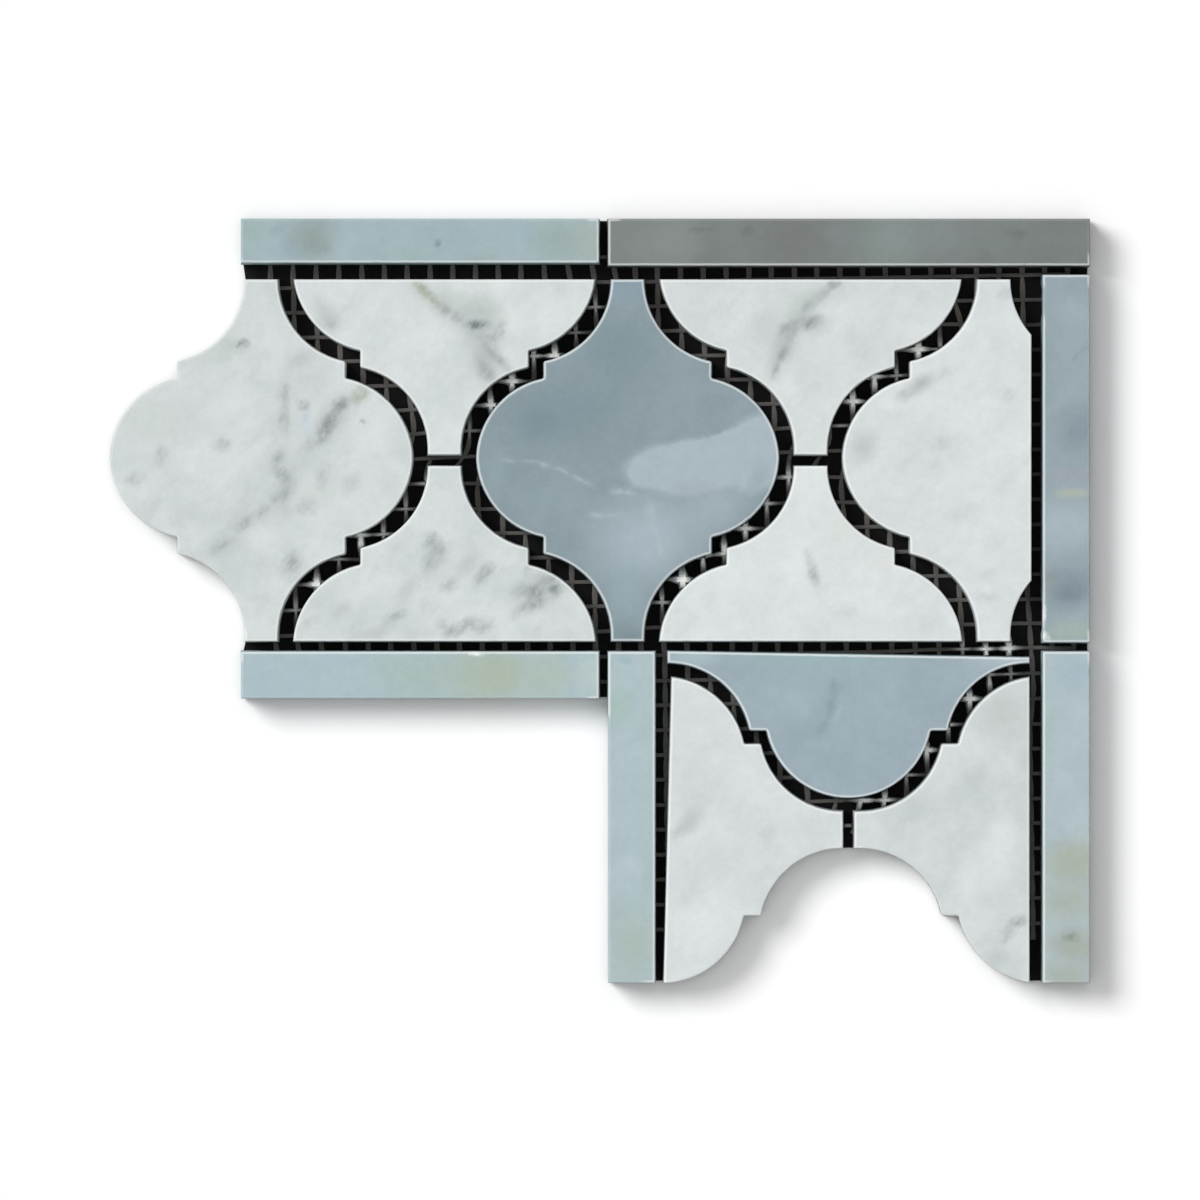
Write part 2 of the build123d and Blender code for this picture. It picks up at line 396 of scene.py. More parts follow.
def stone_piece(node, walk, near, seed):
    """A stone: its profile carried round its outline.

    The profile is a wall, a quarter circle at the face's edge and a short level stretch of the face.
    Beside a joint the wall flares a little towards the bottom, as a water jet leaves it. On the quarter
    circle the inset is the radius times one less the cosine, and the drop below the face is the radius
    times one less the sine. Two attributes say how much of each point is wall and how much is ground edge,
    which the marble paints whitish: partly the edge's own paleness and partly a painted highlight.
    """
    low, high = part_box(node)
    base = low.z / MM
    top = high.z / MM
    radius = edge_radius(walk, seed)
    angle = np.radians(np.linspace(0, 90, EDGE_STEPS))[:, None]
    share = walk["along"] / walk["round"]
    turns = int(walk["round"] / WALL_PITCH)
    rough = WALL_RIPPLE * (1 + ripple(share, seed + WALL_SEED, waves=14, fewest=8, most=turns) / 2)
    flat = np.ones_like(radius)
    flare = WALL_FLARE * near
    wall_inset = [0.5 * rough - flare, rough - MIDDLE_FLARE * flare, 0 * rough]
    inset = np.array([*wall_inset, *(radius * (1 - np.cos(angle))), walk["room"]])
    wall_height = [base * flat, (base + WALL_MIDDLE * (top - base)) * flat, top - radius - WALL_SHOULDER]
    height = np.array([*wall_height, *(top - radius * (1 - np.sin(angle))), top * flat])
    place = walk["sample"][None] - walk["mitre"][None] * inset[:, :, None]
    place = np.clip(place, *(np.array(corner)[:2] / MM for corner in cad_box))
    points = np.concatenate([place, height[:, :, None]], axis=2)
    # The ground edge attribute drives the whitish edge colour, its own paleness plus a painted highlight,
    # full beside a joint
    edge_and_highlight_rings = np.array([0, 0, 0, *np.linspace(EDGE_START, 1, EDGE_STEPS), 0])
    wall_rings = np.array([1, 1, 1, *np.linspace(1, 0, EDGE_STEPS), 0])
    attributes = {
        "ground_edge_and_highlight": edge_and_highlight_rings[:, None] * (FREE_EDGE + (1 - FREE_EDGE) * near),
        "sawn_wall": wall_rings[:, None] * flat,
    }
    faces = ring_faces(*points.shape[:2])
    return new_piece(node + "_stone", points.reshape(-1, 3), faces, attributes, node)


def joint_nearness(walks, node):
    """How much of a joint lies beside each sample of a stone, by the distance to other stones' samples."""
    others = np.concatenate([walk["sample"] for name, walk in walks.items() if name != node])
    away = walks[node]["sample"][:, None, :] - others[None, :, :]
    nearest = np.sqrt((away**2).sum(axis=2).min(axis=1))
    return 1 - smooth(nearest, JOINT_NEAR, JOINT_FAR)


# Crossings of the net that glue has drawn aside: x, y, the pull in x and y, and how much glue crept up
NET_SPOTS = [
    (-0.9, 62.5, 1.2, 0.1, 0.5),
    (-5.1, 57.0, 1.8, 0.0, 0.3),
    (-9.6, 52.2, 2.1, 0.6, 0.95),
    (-13.9, 52.0, 2.6, 0.5, 0.75),
    (-18.6, 46.6, 2.6, 0.5, 1.0),
    (-23.1, 41.8, 2.9, 0.9, 0.9),
    (-27.3, 36.2, 3.2, 0.8, 0.35),
    (67.6, 53.4, 1.8, 0.5, 1.0),
    (72.3, 54.0, 1.8, 0.5, 0.4),
    (63.1, 48.0, 2.0, 0.4, 0.45),
    (58.3, 46.8, 2.1, 0.0, 0.9),
    (53.8, 42.5, 2.3, 0.4, 0.95),
    (51.3, 37.3, 2.3, 0.5, 0.4),
    (40.0, 26.3, -2.1, 0.3, 0.75),
    (35.3, 20.5, -2.0, -0.1, 0.65),
    (30.8, 15.3, -1.8, 0.1, 0.9),
    (26.3, 11.0, -1.5, 0.6, 0.85),
    (21.8, 8.8, -1.2, -0.8, 0.75),
    (17.4, 4.5, -0.8, 0.1, 1.15),
    (13.2, 0.0, -0.3, 0.7, 0.6),
    (-36.9, 25.1, -1.5, 0.3, 0.6),
    (-41.4, 20.0, -1.2, 0.3, 0.4),
    (-46.1, 14.2, -1.2, 0.3, 0.55),
    (-50.9, 12.8, -1.2, 0.0, 0.95),
    (-55.5, 8.9, -1.1, 0.4, 0.4),
    (-60.2, 3.5, -1.0, 0.5, 1.0),
    (-64.6, -1.5, -0.7, 0.3, 0.45),
    (86.8, -9.9, 0.4, 0.3, 0.9),
    (82.3, -10.5, 0.5, 0.0, 0.75),
    (77.1, -9.9, 0.4, 0.2, 0.4),
    (87.0, -15.6, 1.0, 0.1, 0.4),
    (82.6, -17.0, 1.3, 0.0, 0.7),
    (78.6, -20.7, 1.8, 0.4, 1.0),
    (74.0, -26.4, 2.0, 0.1, 0.7),
    (69.4, -31.7, 2.1, 0.2, 0.95),
    (65.4, -36.9, 2.8, 0.3, 0.5),
    (60.6, -42.1, 2.8, 0.4, 0.8),
    (56.2, -42.4, 3.2, 0.3, 0.9),
    (52.8, -48.0, 0.0, 0.2, 0.4),
]


def net_shift(points):
    """How far the net is drawn aside at each point: the mean of the spots' pulls, weighed by nearness."""
    spots = np.array(NET_SPOTS)
    away = np.linalg.norm(points[:, None, :2] - (spots[:, :2] - spots[:, 2:4])[None], axis=2)
    weight = np.exp(-((away / NET_GIVE) ** 2))
    pulled = weight @ spots[:, 2:4] / (weight.sum(axis=1, keepdims=True) + NET_HOLD)
    return np.column_stack([pulled, np.zeros(len(points))])


def glue_at(points):
    """How much glue there is at each point: the strongest of the spots, each fading out over its reach."""
    spots = np.array(NET_SPOTS)
    away = np.linalg.norm(points[:, None, :2] - spots[None, :, :2], axis=2)
    reach = GLUE_REACH + REACH_GAIN * spots[:, 4]
    return (spots[:, 4] * (1 - smooth(away, GLUE_CORE * reach, reach))).max(axis=1)


def joint_room(points, walks):
    """How far each point lies from the stones' outlines, or 0 under a stone.

    A point is under a stone where an odd number of the outline's edges cross the level line to its right.
    """
    samples = np.concatenate([walk["sample"] for walk in walks.values()])
    room = np.linalg.norm(points[:, None, :2] - samples[None], axis=2).min(axis=1)
    for walk in walks.values():
        start = walk["sample"]
        end = np.roll(start, -1, axis=0)
        slope = (end[:, 0] - start[:, 0]) / np.where(end[:, 1] == start[:, 1], 1, end[:, 1] - start[:, 1])
        spans = (start[:, 1] > points[:, 1:2]) != (end[:, 1] > points[:, 1:2])
        right = points[:, :1] < start[:, 0] + slope * (points[:, 1:2] - start[:, 1])
        room[(spans & right).sum(axis=1) % 2 == 1] = 0
    return room


def yarn_stations(start, end):
    """Shares of the length along a thread, wide apart where it is plain and close together in glue."""
    length = np.linalg.norm(end - start)
    share = np.linspace(0, 1, int(length / FINE_STATION) + 2)
    straight = start + share[:, None] * (end - start)
    glue = glue_at(straight + net_shift(straight))
    wanted = 1 / YARN_STATION + glue / GLUE_STATION
    passed = np.concatenate([[0], np.cumsum((wanted[1:] + wanted[:-1]) / 2 * np.diff(share) * length)])
    return np.interp(np.linspace(0, passed[-1], int(passed[-1]) + 3), passed, share)


def yarn(start, end, section, spacing, phase, seed, walks):
    """One yarn along a thread: an oval section carried along a line that wanders a little.

    Its middle swings across the thread by a cosine and up and down by a sine of the length over the twist
    length, so that two yarns in opposite phase twist about each other. Glue swells the section, and in a
    joint it draws the upper half of the section up between the stones by the glue times the rise.
    """
    length = np.linalg.norm(end - start)
    share = yarn_stations(start, end)
    ahead = (end - start) / length
    across = np.array([-ahead[1], ahead[0], 0])
    up = np.array([0, 0, 1])
    draw = np.random.default_rng(seed)
    turning = draw.uniform(-1, 1, WANDER_POINTS)
    wander = np.interp(share, np.linspace(0, 1, WANDER_POINTS), turning) * YARN_WANDER
    twist = 2 * math.pi * share * length / TWIST_LENGTH + phase
    swing = wander + spacing * np.cos(twist)
    lift = TWIST_LIFT * spacing * np.sin(twist)
    straight = start + share[:, None] * (end - start)
    middle = straight + net_shift(straight) + swing[:, None] * across + lift[:, None] * up
    glue = glue_at(middle)
    sticky = glue > GLUE_TRACE
    rise = np.zeros_like(glue)
    rise[sticky] = GLUE_RISE * glue[sticky] * smooth(joint_room(middle[sticky], walks), 0.0, RISE_ROOM)
    around = np.linspace(0, 2 * math.pi, YARN_SIDES, endpoint=False)
    wide = section[0] * (1 + GLUE_SWELL * glue**3)
    tall = section[1] * (1 + GLUE_HEIGHT * glue)
    height = tall[:, None] * np.sin(around) + rise[:, None] * np.maximum(np.sin(around), 0)
    side = wide[:, None, None] * np.cos(around)[None, :, None] * across
    rings = middle[:, None, :] + side + height[:, :, None] * up
    return rings, np.repeat(glue, YARN_SIDES)


def net_piece(name, node, section, spacing, walks):
    """All threads of one net node as one piece: a yarn each, or a twisted pair where a spacing is given."""
    points = []
    faces = []
    glue = []
    first = 0
    phases = [0, math.pi] if spacing else [0]
    for number, (start, end) in enumerate(zip(*thread_ends(node))):
        for phase in phases:
            rings, sticky = yarn(start, end, section, spacing, phase, YARN_SEED + number, walks)
            faces += ring_faces(len(rings), YARN_SIDES, first)
            points.append(rings.reshape(-1, 3))
            glue.append(sticky)
            first += rings.shape[0] * YARN_SIDES
    attributes = {"glue": np.concatenate(glue)}
    return new_piece(name, np.concatenate(points), faces, attributes, node)


# Materials


class Nodes:
    """A node tree while it is made, with short ways to add nodes."""

    def __init__(self, tree):
        self.tree = tree

    def feed(self, socket, value):
        """Gives a socket another node's output, or a fixed value."""
        if isinstance(value, bpy.types.NodeSocket):
            self.tree.links.new(value, socket)
        else:
            socket.default_value = value

    def node(self, kind, inputs, **settings):
        """Adds a node with its settings, and feeds its inputs by name or number."""
        made = self.tree.nodes.new(kind)
        for name, value in settings.items():
            setattr(made, name, value)
        for name, value in inputs.items():
            self.feed(made.inputs[name], value)
        return made

    def sum(self, operation, first, second, third=0.0):
        """Arithmetic on two or three values."""
        inputs = {0: first, 1: second, 2: third}
        return self.node("ShaderNodeMath", inputs, operation=operation).outputs[0]

    def vector(self, operation, first, second):
        """Arithmetic on two vectors."""
        inputs = {0: first, 1: second}
        return self.node("ShaderNodeVectorMath", inputs, operation=operation).outputs[0]

    def background_share(self):
        """1 for rays that show the background to the camera, also in gloss or through glass, and else 0."""
        path = self.node("ShaderNodeLightPath", {})
        seen = self.sum("MAXIMUM", path.outputs["Is Camera Ray"], path.outputs["Is Glossy Ray"])
        return self.sum("MAXIMUM", seen, path.outputs["Is Transmission Ray"])


class Finish(Nodes):
    """A material while it is made: its shader, and the patterns that finishes are made of."""

    def __init__(self, name):
        self.material = bpy.data.materials.new(name)
        self.material.use_nodes = True
        super().__init__(self.material.node_tree)
        self.shader = self.tree.nodes["Principled BSDF"]

    def finished(self, **inputs):
        """The material, once the shader's inputs are fed. Their names have underscores for spaces."""
        for name, value in inputs.items():
            self.feed(self.shader.inputs[name.replace("_", " ")], value)
        return self.material

    def place(self):
        """The point on the tile, in millimetres."""
        corner = self.node("ShaderNodeTexCoord", {})
        return self.vector("MULTIPLY", corner.outputs["Object"], (1 / MM, 1 / MM, 1 / MM))

    def drawn_out(self, place, size, turn=0):
        """A place in a turned frame, measured in lumps of that size along each axis."""
        inputs = {"Vector": place, "Rotation": (0, 0, math.radians(turn)), "Scale": size}
        return self.node("ShaderNodeMapping", inputs, vector_type="TEXTURE").outputs[0]

    def noise(self, place, scale, detail=2.0, roughness=0.5):
        """Soft noise from 0 to 1, with so many lumps to a millimetre."""
        inputs = {"Vector": place, "Scale": scale, "Detail": detail, "Roughness": roughness}
        return self.node("ShaderNodeTexNoise", inputs).outputs["Fac"]

    def drifted(self, place, scale, reach):
        """A place pushed about by noise, so that what is drawn there wanders."""
        inputs = {"Vector": place, "Scale": scale, "Detail": 3.0}
        push = self.node("ShaderNodeTexNoise", inputs).outputs["Color"]
        centred = self.vector("SUBTRACT", push, (0.5, 0.5, 0.5))
        return self.vector("ADD", place, self.vector("MULTIPLY", centred, (reach, reach, 0)))

    def fade(self, value, start, end, low=0.0, high=1.0):
        """A soft step of a value, from low at start to high at end."""
        inputs = {"Value": value, 1: start, 2: end, 3: low, 4: high}
        return self.node("ShaderNodeMapRange", inputs, interpolation_type="SMOOTHSTEP").outputs[0]

    def mix(self, share, under, over):
        """One colour laid over another, by a share."""
        inputs = {0: share, 6: under, 7: over}
        return self.node("ShaderNodeMix", inputs, data_type="RGBA").outputs[2]

    def oval(self, place, x, y, long, short, turn, core=0.0):
        """1 in the middle of a turned oval, fading to 0 at its rim."""
        inputs = {
            "Vector": place,
            "Location": (x, y, 0),
            "Rotation": (0, 0, math.radians(turn)),
            "Scale": (long, short, OVAL_DEPTH),
        }
        inside = self.node("ShaderNodeMapping", inputs, vector_type="TEXTURE").outputs[0]
        reach = self.node("ShaderNodeVectorMath", {0: inside}, operation="LENGTH").outputs["Value"]
        return self.fade(reach, core, 1.0, 1.0, 0.0)

    def attribute(self, name):
        """One of the piece's own attributes."""
        return self.node("ShaderNodeAttribute", {}, attribute_name=name).outputs["Fac"]

    def bump(self, height, distance, strength=1.0, normal=None):
        """A bump of so many millimetres from a height between 0 and 1."""
        inputs = {"Height": height, "Distance": distance * MM, "Strength": strength}
        if normal is not None:
            inputs["Normal"] = normal
        return self.node("ShaderNodeBump", inputs).outputs[0]


ASH = (188, 195, 194)
SMOKE = (167, 174, 174)
SOOT = (142, 150, 149)
INK = (104, 114, 113)
OLIVE = (166, 172, 158)
MOSS = (192, 204, 199)
PEARL = (222, 227, 227)
# The whitish ground edge colour: partly the edge's own paleness, partly a painted highlight along the arris
EDGE_PALE_AND_HIGHLIGHT = (246, 249, 248)


# Each stone's slot, its two ground tones, how smoky it is, how strongly its ground edge is whitened (its own
# paleness plus a painted highlight), its blots and its veins. A stone without smoke or veins, or with the
# common edge whitening, doesn't name them. A blot is x, y, long reach, short reach, turn, tone and strength,
# and a strength over one makes a flat patch with a crisp rim. A vein is its points, width, tone and
# strength.
STONES = {
    "end_lantern": {
        "slot": "white_marble",
        "tones": ((202, 209, 209), (215, 221, 221)),
        "smoke": 0.25,
        "blots": [
            (-95.0, 38.0, 15.0, 13.0, 0, (203, 211, 209), 0.8),
            (-81.0, 56.0, 11.0, 7.0, 40, (202, 211, 208), 0.8),
            (-78.0, 42.0, 10.0, 5.0, 10, PEARL, 0.7),
            (-48.0, 35.0, 9.0, 7.0, 20, PEARL, 0.7),
            (-61.0, 46.0, 10.0, 6.0, 80, ASH, 0.4),
            (-79.5, 52.5, 5.0, 3.5, 30, MOSS, 0.6),
            (-63.5, 51.5, 5.0, 3.5, 20, ASH, 0.7),
            (-58.0, 23.0, 10.0, 5.0, 20, (203, 211, 209), 0.8),
            (-62.5, 31.0, 8.0, 3.5, 75, ASH, 0.4),
            (-56.5, 39.0, 9.5, 5.0, 58, ASH, 0.9),
            (-67.0, 19.0, 7.0, 4.0, 30, ASH, 0.5),
            (-88.0, 18.0, 6.0, 3.0, 20, ASH, 0.3),
            (-62.3, 38.0, 4.5, 1.8, 90, (192, 204, 214), 0.9),
            (-50.6, 44.0, 4.4, 2.6, 40, OLIVE, 0.75),
            (-77.5, 54.0, 4.5, 2.6, 0, ASH, 0.6),
            (-75.9, 54.3, 2.2, 1.6, 10, SOOT, 0.95),
            (-55.0, 41.4, 3.6, 2.6, 45, SOOT, 0.8),
            (-57.4, 38.0, 4.6, 2.6, 50, SOOT, 0.9),
            (-58.9, 35.0, 4.2, 2.3, 62, SOOT, 0.6),
            (-62.8, 41.5, 2.4, 1.8, 0, SMOKE, 0.9),
            (-61.8, 33.0, 3.2, 2.2, 40, SMOKE, 0.5),
            (-58.7, 26.2, 4.2, 2.2, 80, SMOKE, 0.55),
            (-62.2, 19.7, 3.8, 2.8, 20, SMOKE, 0.6),
            (-53.0, 25.0, 4.5, 2.6, 60, SMOKE, 0.3),
            (-50.3, 38.1, 1.0, 0.8, 0, SOOT, 0.9),
            (-80.0, 33.3, 3.4, 2.6, 20, SMOKE, 0.65),
            (-93.0, 31.0, 4.0, 2.6, 70, SMOKE, 0.5),
            (-98.5, 26.0, 3.6, 2.4, 20, SMOKE, 0.55),
            (-65.6, 8.2, 4.2, 3.0, 70, SMOKE, 0.9),
            (-66.0, 5.0, 3.5, 2.4, 40, ASH, 0.6),
            (-72.0, 0.2, 3.5, 2.0, 0, ASH, 0.5),
        ],
        "veins": [
            ([(-66.8, 46.0), (-66.8, 42.0), (-66.8, 36.0)], 2.0, SMOKE, 0.7),
            ([(-67.8, 31.0), (-68.8, 28.2), (-65.6, 25.0)], 1.9, SMOKE, 0.85),
            ([(-65.6, 24.4), (-67.2, 21.0)], 1.1, SOOT, 0.5),
            ([(-66.0, 24.5), (-70.0, 20.0), (-74.0, 17.8), (-77.0, 15.4)], 1.5, SMOKE, 0.75),
            ([(-78.6, 12.8), (-82.0, 10.8)], 1.8, SMOKE, 0.8),
        ],
    },
    "centre_lantern": {
        "slot": "blue_marble",
        "tones": ((134, 151, 158), (142, 158, 165)),
        "edge": 0.55,
        "blots": [
            (-8.0, 40.0, 26.0, 14.0, 20, (128, 145, 153), 0.9),
            (4.0, 55.0, 13.0, 11.0, 0, (125, 144, 151), 0.8),
            (-13.0, 38.0, 7.0, 5.0, 0, (121, 141, 150), 0.8),
            (5.7, 66.0, 6.0, 5.0, 0, (136, 157, 169), 0.8),
            (-22.0, 27.0, 8.0, 4.0, 80, (142, 162, 165), 0.7),
            (-12.0, 22.0, 9.0, 6.0, 0, (144, 161, 169), 0.7),
            (10.0, 13.0, 19.0, 14.0, 15, (164, 180, 188), 1.1),
            (24.0, 20.0, 15.0, 9.0, 25, (158, 173, 180), 1.0),
            (6.0, 2.0, 6.0, 9.0, 0, (148, 166, 175), 0.9),
            (6.0, -8.0, 6.0, 5.0, 0, (122, 139, 146), 0.9),
            (19.8, 28.5, 17.4, 7.0, 5, (167, 183, 189), 6.0),
            (27.2, 32.0, 10.0, 4.6, 20, (167, 183, 189), 6.0),
            (10.6, 27.8, 6.0, 4.6, 30, (167, 183, 189), 6.0),
            (33.6, 31.4, 10.5, 8.4, 60, (167, 183, 189), 6.0),
            (20.0, 23.6, 9.0, 3.0, 2, (162, 174, 179), 0.8),
            (34.0, 26.0, 6.0, 3.4, 60, (157, 171, 180), 1.0),
        ],
        "veins": [
            ([(-21.5, 30.6), (-17.0, 29.8), (-13.5, 29.3)], 0.6, (154, 170, 177), 0.7),
            ([(-13.5, 29.3), (-10.0, 28.5), (-6.0, 26.8), (-1.5, 24.3)], 0.6, (168, 183, 189), 0.65),
            ([(2.8, 23.3), (5.0, 22.9), (7.6, 22.3)], 0.8, (173, 188, 193), 0.65),
            ([(-2.0, 18.8), (1.0, 18.1), (5.0, 18.4)], 0.8, (168, 183, 189), 0.7),
            ([(10.8, 21.0), (11.2, 16.0), (12.3, 13.0), (13.2, 9.5)], 0.9, (172, 187, 193), 0.8),
        ],
    },
    "corner_lantern": {
        "slot": "white_marble",
        "tones": ((211, 217, 217), (219, 224, 225)),
        "smoke": 0.14,
        "blots": [
            (86.0, 65.3, 3.0, 2.2, 60, SMOKE, 0.45),
            (68.0, 46.0, 5.0, 2.6, 35, SMOKE, 0.75),
            (64.6, 43.6, 3.4, 2.2, 35, SMOKE, 0.55),
            (73.5, 48.5, 3.4, 2.0, 30, ASH, 0.5),
            (86.0, 44.0, 3.0, 2.6, 80, SMOKE, 0.25),
            (72.0, 33.2, 4.2, 3.2, 30, SMOKE, 0.35),
            (56.0, 32.5, 6.0, 4.0, 60, ASH, 0.8),
            (71.0, 28.0, 4.0, 3.0, 60, ASH, 0.4),
            (77.0, 18.5, 8.0, 4.0, 20, ASH, 0.35),
            (82.5, 5.2, 3.2, 2.6, 0, ASH, 0.4),
            (82.0, 0.5, 4.0, 2.0, 0, ASH, 0.45),
            (85.0, 24.0, 4.0, 2.6, 40, ASH, 0.25),
        ],
    },
    "upper_left_half": {
        "slot": "white_marble",
        "tones": ((207, 214, 214), (218, 224, 223)),
        "smoke": 0.18,
        "blots": [
            (-25.0, 53.0, 9.0, 6.0, 105, ASH, 0.95),
            (-25.5, 61.5, 7.5, 5.5, -15, (182, 193, 190), 0.9),
            (-31.0, 64.0, 6.0, 3.5, -35, MOSS, 0.6),
            (-58.0, 61.0, 6.5, 4.0, 125, ASH, 0.8),
            (-57.0, 59.2, 3.0, 2.2, 0, SMOKE, 0.5),
            (-26.2, 58.5, 4.2, 2.0, 4, SOOT, 1.1),
            (-26.5, 58.6, 2.6, 1.3, 6, INK, 1.0),
            (-21.4, 57.4, 3.8, 2.4, 60, SMOKE, 0.8),
            (-24.0, 48.6, 4.0, 2.4, 120, SMOKE, 0.8),
            (-37.0, 65.4, 3.2, 1.9, 140, OLIVE, 0.8),
            (-12.0, 60.0, 8.0, 6.0, 0, PEARL, 0.6),
        ],
        "veins": [
            ([(-39.0, 67.6), (-36.8, 65.0), (-34.2, 62.9)], 1.3, OLIVE, 0.9),
            ([(-34.2, 62.8), (-31.4, 60.8), (-29.2, 59.7)], 1.7, SMOKE, 0.9),
            ([(-28.0, 56.8), (-21.0, 55.6)], 1.8, SMOKE, 0.6),
            ([(-24.8, 55.0), (-22.2, 51.2)], 1.2, SMOKE, 0.9),
            ([(-22.6, 52.6), (-19.4, 49.0)], 1.2, SMOKE, 0.9),
            ([(-25.6, 51.0), (-23.0, 47.4)], 1.3, SMOKE, 0.9),
        ],
    },
    "lower_left_half": {
        "slot": "white_marble",
        "tones": ((203, 210, 210), (216, 222, 222)),
        "smoke": 0.28,
        "blots": [
            (-34.5, 8.5, 6.5, 5.0, 70, ASH, 0.5),
            (-34.5, 11.3, 4.2, 2.8, 115, SMOKE, 0.95),
            (-36.2, 12.6, 3.2, 2.4, 60, SMOKE, 0.7),
            (-36.2, 8.4, 3.6, 2.6, 60, SMOKE, 0.7),
            (-28.0, 8.0, 6.0, 3.2, 45, ASH, 0.8),
            (-23.9, 6.2, 3.4, 2.2, 60, SOOT, 0.65),
            (-25.4, 4.6, 2.8, 2.2, 45, SMOKE, 0.6),
            (-32.0, 3.4, 3.8, 2.8, 30, SMOKE, 0.6),
            (-41.0, 1.8, 5.0, 2.6, 45, ASH, 0.6),
            (-13.5, 1.8, 7.5, 5.5, 30, ASH, 0.8),
            (-14.2, 2.4, 3.6, 2.8, 30, SOOT, 0.8),
            (-10.2, 3.4, 3.6, 2.6, 120, SOOT, 1.0),
            (-12.6, 4.8, 3.2, 2.2, 20, SMOKE, 0.7),
            (-13.2, 0.2, 3.6, 2.6, 60, SOOT, 0.75),
            (-15.2, -1.2, 3.0, 2.0, 30, SOOT, 0.6),
            (-15.2, 6.4, 2.6, 1.8, 70, SMOKE, 0.6),
            (-17.4, 2.0, 4.0, 2.6, 30, SMOKE, 0.6),
            (-54.5, -2.2, 3.8, 3.0, 60, SMOKE, 0.3),
            (-62.0, -4.5, 4.0, 3.0, 60, ASH, 0.6),
            (-43.8, -3.8, 4.6, 2.2, 25, SMOKE, 0.7),
            (-45.8, -5.9, 4.8, 2.4, 30, SMOKE, 0.5),
            (-48.5, -7.0, 5.0, 2.0, 10, ASH, 0.6),
            (-30.8, -6.0, 4.2, 2.4, 20, SMOKE, 0.9),
            (-28.2, -4.9, 4.0, 2.4, 30, SMOKE, 0.65),
            (-33.6, -5.0, 2.6, 2.0, 0, SMOKE, 0.5),
            (-25.2, -5.4, 4.6, 2.6, 20, SMOKE, 0.75),
            (-17.8, -2.6, 2.8, 1.8, 60, SMOKE, 0.45),
            (-38.0, -7.0, 6.0, 2.4, 10, ASH, 0.4),
        ],
    },
    "upper_right_half": {
        "slot": "white_marble",
        "tones": ((207, 213, 213), (217, 222, 222)),
        "smoke": 0.16,
        "blots": [
            (43.0, 63.0, 7.0, 4.5, 40, MOSS, 0.7),
            (35.0, 58.0, 8.0, 5.5, 40, ASH, 0.55),
            (39.0, 55.5, 7.0, 4.0, 55, ASH, 0.7),
            (54.0, 55.0, 5.0, 4.0, 0, ASH, 0.25),
            (49.4, 67.2, 3.0, 1.8, 40, SOOT, 0.75),
            (46.5, 58.4, 5.0, 3.2, 15, ASH, 0.6),
            (44.4, 58.9, 4.2, 2.2, 15, SOOT, 1.0),
            (44.8, 59.0, 2.0, 1.0, 20, INK, 0.5),
            (40.0, 57.6, 3.6, 2.4, 35, SOOT, 0.8),
        ],
        "veins": [
            ([(50.4, 68.0), (48.5, 66.2), (45.5, 63.6), (42.8, 61.4)], 1.6, SMOKE, 0.85),
            ([(44.4, 59.4), (42.0, 59.2), (39.6, 57.6)], 1.5, SMOKE, 0.8),
            ([(41.4, 57.2), (40.0, 54.7), (38.6, 52.6)], 1.4, SMOKE, 0.55),
            ([(38.8, 53.0), (37.6, 50.6), (36.8, 47.8)], 1.4, SOOT, 0.65),
        ],
    },
    "lower_right_half": {
        "slot": "white_marble",
        "tones": ((213, 218, 218), (221, 226, 227)),
        "smoke": 0.10,
        "blots": [
            (45.4, 5.8, 4.2, 2.0, 108, SMOKE, 0.75),
            (44.4, 8.8, 3.6, 1.6, 105, ASH, 0.6),
            (52.0, -2.4, 4.2, 3.0, 20, ASH, 0.35),
            (22.5, 0.0, 4.0, 3.0, 30, ASH, 0.25),
            (71.0, -4.5, 4.0, 3.0, 20, ASH, 0.25),
            (50.5, 15.8, 4.0, 3.0, 70, (214, 219, 206), 0.6),
            (60.0, 8.5, 4.0, 2.6, 20, (214, 219, 206), 0.5),
        ],
    },
    "lower_lantern": {
        "slot": "blue_marble",
        "tones": ((151, 168, 177), (158, 175, 184)),
        "edge": 0.55,
        "blots": [
            (47.0, -12.0, 30.0, 3.8, -1, (152, 179, 180), 0.85),
            (20.0, -12.0, 8.0, 3.0, 0, (170, 190, 193), 0.8),
            (88.0, -12.5, 16.0, 4.5, 0, (172, 189, 195), 1.0),
            (42.0, -22.0, 6.0, 7.0, 0, (163, 180, 189), 0.7),
            (54.0, -36.0, 14.0, 5.0, 0, (149, 168, 174), 0.5),
            (66.0, -20.0, 7.0, 5.0, 30, (148, 165, 174), 0.5),
        ],
        "veins": [
            ([(49.8, -17.0), (49.4, -20.5), (48.2, -25.0), (46.4, -28.4)], 1.2, (132, 151, 160), 0.7),
            ([(51.2, -21.0), (49.9, -26.0)], 0.9, (166, 182, 191), 0.7),
        ],
    },
    "socket_left_half": {
        "slot": "white_marble",
        "tones": ((208, 214, 215), (218, 223, 224)),
        "smoke": 0.12,
        "blots": [
            (19.2, -46.6, 5.0, 3.6, 50, SMOKE, 0.5),
            (17.0, -48.6, 4.0, 2.8, 40, ASH, 0.6),
            (36.0, -49.2, 3.8, 2.8, 20, ASH, 0.4),
            (22.0, -69.0, 10.0, 8.0, 40, PEARL, 0.7),
            (27.0, -32.0, 6.0, 5.0, 60, (210, 219, 216), 0.6),
        ],
    },
    "socket_right_half": {
        "slot": "white_marble",
        "tones": ((199, 206, 206), (213, 218, 219)),
        "smoke": 0.18,
        "blots": [
            (85.0, -24.0, 10.0, 8.0, 50, (194, 200, 198), 0.9),
            (80.0, -38.0, 8.0, 4.0, 30, ASH, 0.25),
            (84.0, -56.0, 12.0, 10.0, 60, PEARL, 0.7),
